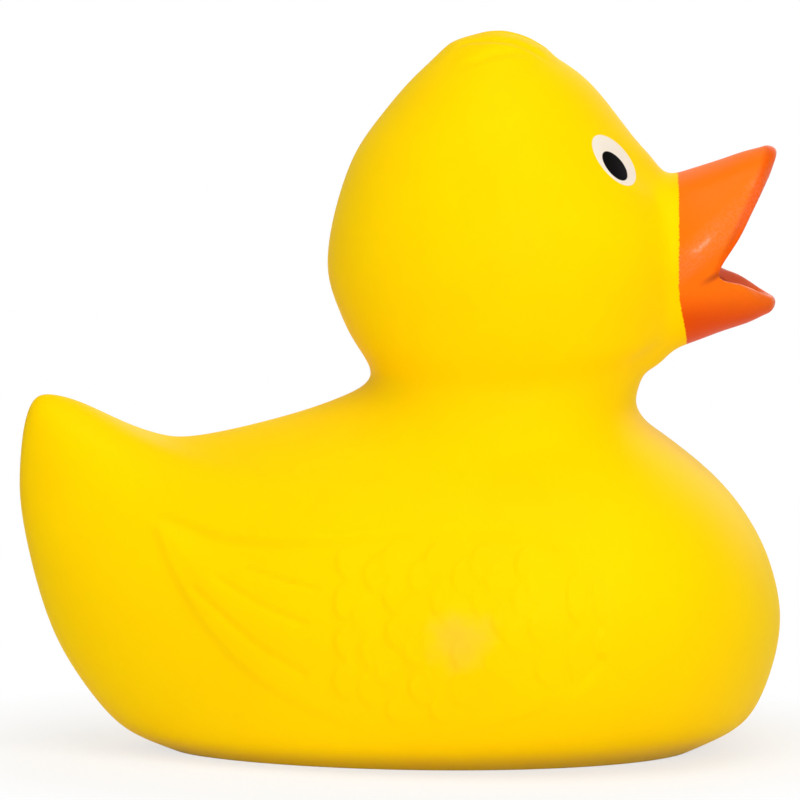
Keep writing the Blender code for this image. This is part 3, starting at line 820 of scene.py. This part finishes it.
def atLeast(low, share):
    # a share that starts at low instead of 0
    return low + (1 - low) * share


def alongLine(x, z, line):
    # 0 at the start of a straight line and 1 at its end
    (startX, startZ), (endX, endZ) = line
    run = math.hypot(endX - startX, endZ - startZ)
    return ((x - startX) * (endX - startX) + (z - startZ) * (endZ - startZ)) / run**2


def asideOf(x, z, line):
    # distance from a straight line
    (startX, startZ), (endX, endZ) = line
    run = math.hypot(endX - startX, endZ - startZ)
    return abs((x - startX) * (endZ - startZ) - (z - startZ) * (endX - startX)) / run


vinyl = {
    "yellow": (1.0, 0.645, 0.0, 1),
    "deepYellow": (1.0, 0.625, 0.0, 1),
    "mottleSize": 14.0,
    "mottleSpan": (0.35, 0.75),  # values of the noise between which the yellow deepens
    "grainSize": 0.35,
    "grainDetail": 3.0,
    "bump": 0.2,
    "bumpOnYellow": 0.2,  # share of the bump that the unpainted vinyl has
    "roughness": 0.46,
    "roughnessSpread": 0.08,  # how much the grain changes it
    "paintSmoother": 0.1,  # how much less rough the paint is
    "specular": 0.012,
    "coat": 0.08,  # on the paint, away from its glossy band
    "coatRoughness": 0.28,
    "subsurface": 0.15,
    "subsurfaceRadius": (1.0, 0.45, 0.08),
    "subsurfaceScale": 0.0015,
    "smear": (1.0, 0.52, 0.06, 1),  # the stain on the near wing
    "smearPlace": (7.7, 18.7),
    "smearSpan": (0.5, 5.5),  # distances from its middle between which it fades
    "smearPatches": 3.0,  # size of the bays in its edge
    "smearRagged": 5.0,  # and how deep they are
    "smearSide": (5.0, -5.0),  # y between which it sets in
    "smearShare": 0.38,
    "paintEdge": (36.4, 1.2),  # x where the beak's paint starts, and how much further forward at the chin
    "paintChin": (53.0, 62.0),  # z between which that edge slants
    "paintBottom": (48.0, 50.0),  # z between which the paint starts
    "paintFuzz": 0.5,
    "paintSoftness": 0.1,
    "orange": (0.95, 0.17, 0.003, 1),
    # painted shade along the rim of the upper beak, where the lip turns inward
    "rimShadeOrange": (0.8, 0.1, 0.0, 1),
    "rimShadeWidth": (0.1, 1.2),
    "rimShadeStart": (-0.2, 1.0),  # where the painted shade along the upper rim sets in, above the corner of the mouth
    # painted shade on the underside of the lower beak
    "underShadeOrange": (0.72, 0.072, 0.0, 1),
    "underShadeSpan": (62.0, 56.5),  # z between which the painted shade on the lower beak deepens
    # painted highlight in pinkish red inside the mouth
    "mouthHighlightPink": (0.78, 0.16, 0.06, 1),
    "mouthFacing": (0.25, 8.0),  # share for facing forward, and y at which facing the middle counts in full
    "mouthEdge": (0.1, 0.2),  # amounts of the two between which the painted highlight in pinkish red sets in
    "mouthStart": (38.6, 39.4),  # and x
    # painted shade deep in the mouth, and in the crease behind its corner
    "slotShadeRed": (0.3, 0.03, 0.01, 1),
    "slotShadeDepth": (0.8, 1.7),  # depths below the rim of the lower beak between which the painted shade sets in
    "fold": ((41.8, 63.6), (38.8, 61.8)),  # the crease behind the corner of the mouth, darkened with painted shade
    "foldWidth": 0.75,
    "foldStart": (-0.15, 0.1),  # shares of its length between which it sets in
    "foldEnd": (0.1, 1.1),  # and fades
    "foldShadeShare": 0.7,
    "gloss": ((36.5, 64.5), (44.5, 71.5)),  # the side of the upper beak, where the paint lies thickest
    "glossWidth": (0.5, 2.6),
    "glossGrain": (0.4, 0.6),  # values of the grain between which a speckle shines
    "glossBetween": 0.35,  # the shine between the speckles
    "eyeLean": 49.8,  # degrees from +X down to the long axis
    "eye": (  # middle, half length and half width, softness and colour of the eye and the pupil
        ((27.9, 78.5), (4.0, 1.67), 0.02, (0.84, 0.76, 0.64, 1)),
        ((28.0, 77.8), (2.31, 0.96), 0.03, (0.002, 0.001, 0.001, 1)),
    ),
}


def stainShare(paint, spot, x, y, z):
    middleX, middleZ = vinyl["smearPlace"]
    away = ((x - middleX) * (x - middleX) + (z - middleZ) * (z - middleZ)) ** 0.5
    away = away + (paint.noise(spot, vinyl["smearPatches"]) - 0.5) * vinyl["smearRagged"]
    near = paint.between(y, *vinyl["smearSide"])
    return (1 - paint.between(away, *vinyl["smearSpan"])) * near * vinyl["smearShare"]


def foldShadeShare(paint, x, z):
    # painted shade along the crease behind the mouth's corner
    along = alongLine(x, z, vinyl["fold"])
    across = 1 - paint.between(asideOf(x, z, vinyl["fold"]), 0, vinyl["foldWidth"])
    length = paint.between(along, *vinyl["foldStart"]) * (1 - paint.between(along, *vinyl["foldEnd"]))
    return across * length * vinyl["foldShadeShare"]


def glossShare(paint, x, z, grain):
    # a speckled band of thicker, glossier paint
    band = 1 - paint.between(asideOf(x, z, vinyl["gloss"]), *vinyl["glossWidth"])
    return band * atLeast(vinyl["glossBetween"], paint.between(grain, *vinyl["glossGrain"]))


def mouthPaint(paint, x, y, z, colour, painted):
    # inside the mouth the skin faces forward, or towards the middle; there it gets a painted highlight in
    # pinkish red, and painted shade deep in the trough of the lower beak
    normal = paint.node("ShaderNodeNewGeometry")["Normal"]
    facing = paint.node("ShaderNodeSeparateXYZ", {}, {"Vector": normal})
    forward, sideways = vinyl["mouthFacing"]
    inward = facing["X"] * forward - y * facing["Y"] / sideways
    inMouth = paint.between(inward, *vinyl["mouthEdge"]) * paint.between(x, *vinyl["mouthStart"]) * painted
    cornerX, cornerZ = beak["mouthCorner"]
    tipX, tipZ = beak["lowerTip"]
    depth = (x - cornerX) * ((tipZ - cornerZ) / (tipX - cornerX)) + cornerZ - z
    # painted highlight in pinkish red inside the mouth
    colour = paint.blend(inMouth, colour, vinyl["mouthHighlightPink"])
    # painted shade deep in the trough of the lower beak
    return paint.blend(inMouth * paint.between(depth, *vinyl["slotShadeDepth"]), colour, vinyl["slotShadeRed"])


def beakPaint(paint, x, y, z, colour, painted):
    # the beak's orange, with painted shade along the upper rim, under the lower beak, in the crease behind
    # the mouth's corner and deep in the mouth, and a painted highlight inside the mouth
    cornerX, cornerZ = beak["mouthCorner"]
    tipX, tipZ = beak["upperTip"]
    share = paint.between(z, cornerZ, tipZ, "LINEAR")
    rimX = cornerX + (tipX - cornerX) * share + 2 * beak["upperBow"] * share * (1 - share * share) ** 0.5
    thin, thick = vinyl["rimShadeWidth"]
    low, high = vinyl["rimShadeStart"]
    # painted shade in a band just behind the upper rim
    rim = paint.between(x - rimX, -thick, -thin) * paint.between(z, cornerZ + low, cornerZ + high)
    # painted shade that deepens towards the underside of the lower beak
    below = paint.between(z, *vinyl["underShadeSpan"])
    colour = paint.blend(painted, colour, vinyl["orange"])
    colour = paint.blend(painted * below, colour, vinyl["underShadeOrange"])
    colour = paint.blend(painted * rim, colour, vinyl["rimShadeOrange"])
    # painted shade in the crease behind the mouth's corner
    colour = paint.blend(painted * foldShadeShare(paint, x, z), colour, vinyl["slotShadeRed"])
    return mouthPaint(paint, x, y, z, colour, painted)


def oval(x, z, centre, half, lean):
    # about 1 on the edge of a leaning oval
    c = math.cos(math.radians(lean))
    s = math.sin(math.radians(lean))
    along = ((x - centre[0]) * c - (z - centre[1]) * s) / half[0]
    across = ((x - centre[0]) * s + (z - centre[1]) * c) / half[1]
    return (along * along + across * across) ** 0.5


def eyePaint(paint, x, z, colour):
    for centre, half, softness, shade in vinyl["eye"]:
        outside = paint.between(oval(x, z, centre, half, vinyl["eyeLean"]), 1 - softness, 1 + softness)
        colour = paint.blend(1 - outside, colour, shade)
    return colour


def makeVinyl():
    paint = Paint(bpy.data.materials.new("duckVinyl"))
    spot, x, y, z = paint.place()
    mottle = paint.noise(spot, vinyl["mottleSize"])
    grain = paint.noise(spot, vinyl["grainSize"], vinyl["grainDetail"])
    colour = paint.blend(paint.between(mottle, *vinyl["mottleSpan"]), vinyl["yellow"], vinyl["deepYellow"])
    colour = paint.blend(stainShare(paint, spot, x, y, z), colour, vinyl["smear"])

    edge, slant = vinyl["paintEdge"]
    edgeX = edge + slant * (1 - paint.between(z, *vinyl["paintChin"])) + (grain - 0.5) * vinyl["paintFuzz"]
    soft = vinyl["paintSoftness"]
    painted = paint.between(x - edgeX, -soft, soft) * paint.between(z, *vinyl["paintBottom"])
    colour = beakPaint(paint, x, y, z, colour, painted)
    colour = eyePaint(paint, x, z, colour)

    roughness = vinyl["roughness"] - vinyl["paintSmoother"] * painted
    return paint.finish({
        "Base Color": colour,
        "Roughness": roughness + (grain - 0.5) * vinyl["roughnessSpread"],
        "Normal": paint.bumps(grain * atLeast(vinyl["bumpOnYellow"], painted), vinyl["bump"]),
        "Specular IOR Level": vinyl["specular"],
        "Coat Weight": atLeast(vinyl["coat"], glossShare(paint, x, z, grain)) * painted,
        "Coat Roughness": vinyl["coatRoughness"],
        "Subsurface Weight": vinyl["subsurface"],
        "Subsurface Radius": vinyl["subsurfaceRadius"],
        "Subsurface Scale": vinyl["subsurfaceScale"],
    })


duck = makeSkin()
duck.data.materials.append(makeVinyl())
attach(duck, "root")
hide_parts("duck_body")
triangles = sum(len(face.vertices) - 2 for face in duck.data.polygons)
print("skin:", len(duck.data.vertices), "vertices", triangles, "triangles")


# The squeaker, a plastic plug snapped into the base

def makePlastic():
    paint = Paint(bpy.data.materials.new("squeakerPlastic"))
    spot, *_ = paint.place()
    haze = paint.noise(spot, plug["haze"])
    clear, hazy = plug["roughness"]
    return paint.finish({
        "Base Color": paint.blend(haze, plug["white"], plug["shade"]),
        "Roughness": clear + (hazy - clear) * haze,
        "Normal": paint.bumps(paint.noise(spot, plug["grain"]), plug["bump"]),
    })


def makeSqueaker():
    # a flange in the recess, a waist through the hole and a bead inside the duck
    gap = plug["gap"]
    face = plug["recessDepth"] - gap - plug["flange"]
    flangeTop = plug["recessDepth"] - gap
    beadBottom = skin["wall"] + gap
    beadTop = beadBottom + plug["beadHeight"]
    waist = plug["holeRadius"] - gap
    flange = plug["recessRadius"] - gap
    bead = plug["holeRadius"] + plug["beadReach"]
    bore = plug["airBore"]
    rib, ribWidth, ribDepth = plug["groove"]
    profile = (
        (bore, face), (rib, face), (rib, face + ribDepth), (rib + ribWidth, face + ribDepth),
        (rib + ribWidth, face), (flange, face), (flange, flangeTop), (waist, flangeTop), (waist, beadBottom),
        (bead, beadBottom), (bead, beadBottom + plug["beadHeight"] / 3), (waist, beadTop), (bore, beadTop),
        (bore, face),
    )
    piece = turned("squeakerPlug", profile, plug["x"], plug["sides"])
    soften = piece.modifiers.new("Soft edges", "BEVEL")
    soften.width = plug["edge"] * mm
    soften.segments = 3
    soften.limit_method = "ANGLE"
    piece.data.shade_smooth()
    piece.data.set_sharp_from_angle(angle=math.radians(plug["sharpAngle"]))
    return piece


squeaker = makeSqueaker()
squeaker.data.materials.append(makePlastic())
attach(squeaker, "root")
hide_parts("squeaker")
print("squeaker:", len(squeaker.data.polygons), "faces before its edges are rounded")


# Studio

pixel = 0.1316  # millimetres at the duck for one pixel of the photograph

studio = {
    "elevation": 6.0,
    "distance": 2000.0,
    "frameWidth": 800 * pixel,
    "aimHeight": 347 * pixel,  # from the middle of the base up to the middle of the picture
    "world": 0.5,
    "floor": (0.9, 0.9, 0.9, 1),
    "floorSize": 4.0,  # half its width in metres
    "shadowShare": 0.3,  # how much of the floor's own shade the camera sees near the duck
    "shadowFade": (50.0, 80.0),  # the floor turns white between these distances from the duck's middle
    "lampAim": (0.0, 0.0, 0.04),  # what the lamps point at, in metres
    "lamps": {  # x, y, z, width and height in metres, roll in degrees, power
        "front": (0.2, -1.4, 0.3, 0.9, 0.45, 38.0, 8.8),
        "overhead": (0.05, -0.4, 1.2, 0.8, 0.8, 0.0, 6.0),
        "behind": (0.5, 1.3, 0.5, 1.0, 0.8, 0.0, 3.5),
    },
}


def makeCamera():
    tilt = math.radians(studio["elevation"])
    back = Vector((0, -math.cos(tilt), math.sin(tilt)))
    up = Vector((0, math.sin(tilt), math.cos(tilt)))
    data = bpy.data.cameras.new("photoView")
    data.sensor_width = 36
    data.lens = data.sensor_width * studio["distance"] / studio["frameWidth"]
    data.clip_end = 50
    camera = newObject("photoView", data)
    place = (up * studio["aimHeight"] + back * studio["distance"]) * mm
    camera.matrix_world = Matrix.Translation(place) @ back.to_track_quat("Z", "Y").to_matrix().to_4x4()
    bpy.context.scene.camera = camera


def makeLamp(name, x, y, z, width, height, roll, power):
    data = bpy.data.lights.new(name, "AREA")
    data.shape = "RECTANGLE"
    data.size = width
    data.size_y = height
    data.energy = power
    lamp = newObject(name, data)
    lamp.location = (x, y, z)
    aim = (Vector((x, y, z)) - Vector(studio["lampAim"])).to_track_quat("Z", "Y").to_matrix()
    lamp.rotation_euler = (aim @ Matrix.Rotation(math.radians(roll), 3, "Z")).to_euler()


def seenDirectly(paint):
    # 1 where the camera, or a reflection in the duck, looks at the studio itself
    path = paint.node("ShaderNodeLightPath")
    seen = path["Is Camera Ray"]
    for kind in ("Is Glossy Ray", "Is Transmission Ray"):
        seen = seen.math("MAXIMUM", seen, path[kind])
    return seen


def makeWorld():
    world = bpy.data.worlds.new("studioWhite")
    bpy.context.scene.world = world
    paint = Paint(world)
    light = paint.node("ShaderNodeBackground", {}, {"Color": (1, 1, 1, 1), "Strength": studio["world"]})
    white = paint.node("ShaderNodeBackground", {}, {"Color": (1, 1, 1, 1), "Strength": 1.0})
    both = {0: seenDirectly(paint), 1: light["Background"], 2: white["Background"]}
    shader = paint.node("ShaderNodeMixShader", {}, both)["Shader"]
    paint.node("ShaderNodeOutputWorld", {}, {"Surface": shader})


def makeFloor():
    mesh = bpy.data.meshes.new("floor")
    bm = bmesh.new()
    bmesh.ops.create_grid(bm, x_segments=1, y_segments=1, size=studio["floorSize"])
    bm.to_mesh(mesh)
    bm.free()
    floor = newObject("floor", mesh)
    paint = Paint(bpy.data.materials.new("paleFloor"))
    _, x, y, _ = paint.place()
    matt = paint.node("ShaderNodeBsdfDiffuse", {}, {"Color": studio["floor"]})["BSDF"]
    white = paint.node("ShaderNodeEmission", {}, {"Color": (1, 1, 1, 1), "Strength": 1.0})["Emission"]
    away = (x * x + y * y) ** 0.5
    shade = studio["shadowShare"] * (1 - paint.between(away, *studio["shadowFade"]))
    clear = (1 - shade) * seenDirectly(paint)
    both = paint.node("ShaderNodeMixShader", {}, {0: clear, 1: matt, 2: white})["Shader"]
    paint.node("ShaderNodeOutputMaterial", {}, {"Surface": both})
    floor.data.materials.append(paint.owner)


makeCamera()
makeWorld()
makeFloor()
for lampName, lamp in studio["lamps"].items():
    makeLamp(lampName, *lamp)
bpy.context.scene.view_settings.view_transform = "Standard"
print("studio:", len(studio["lamps"]), "lamps")
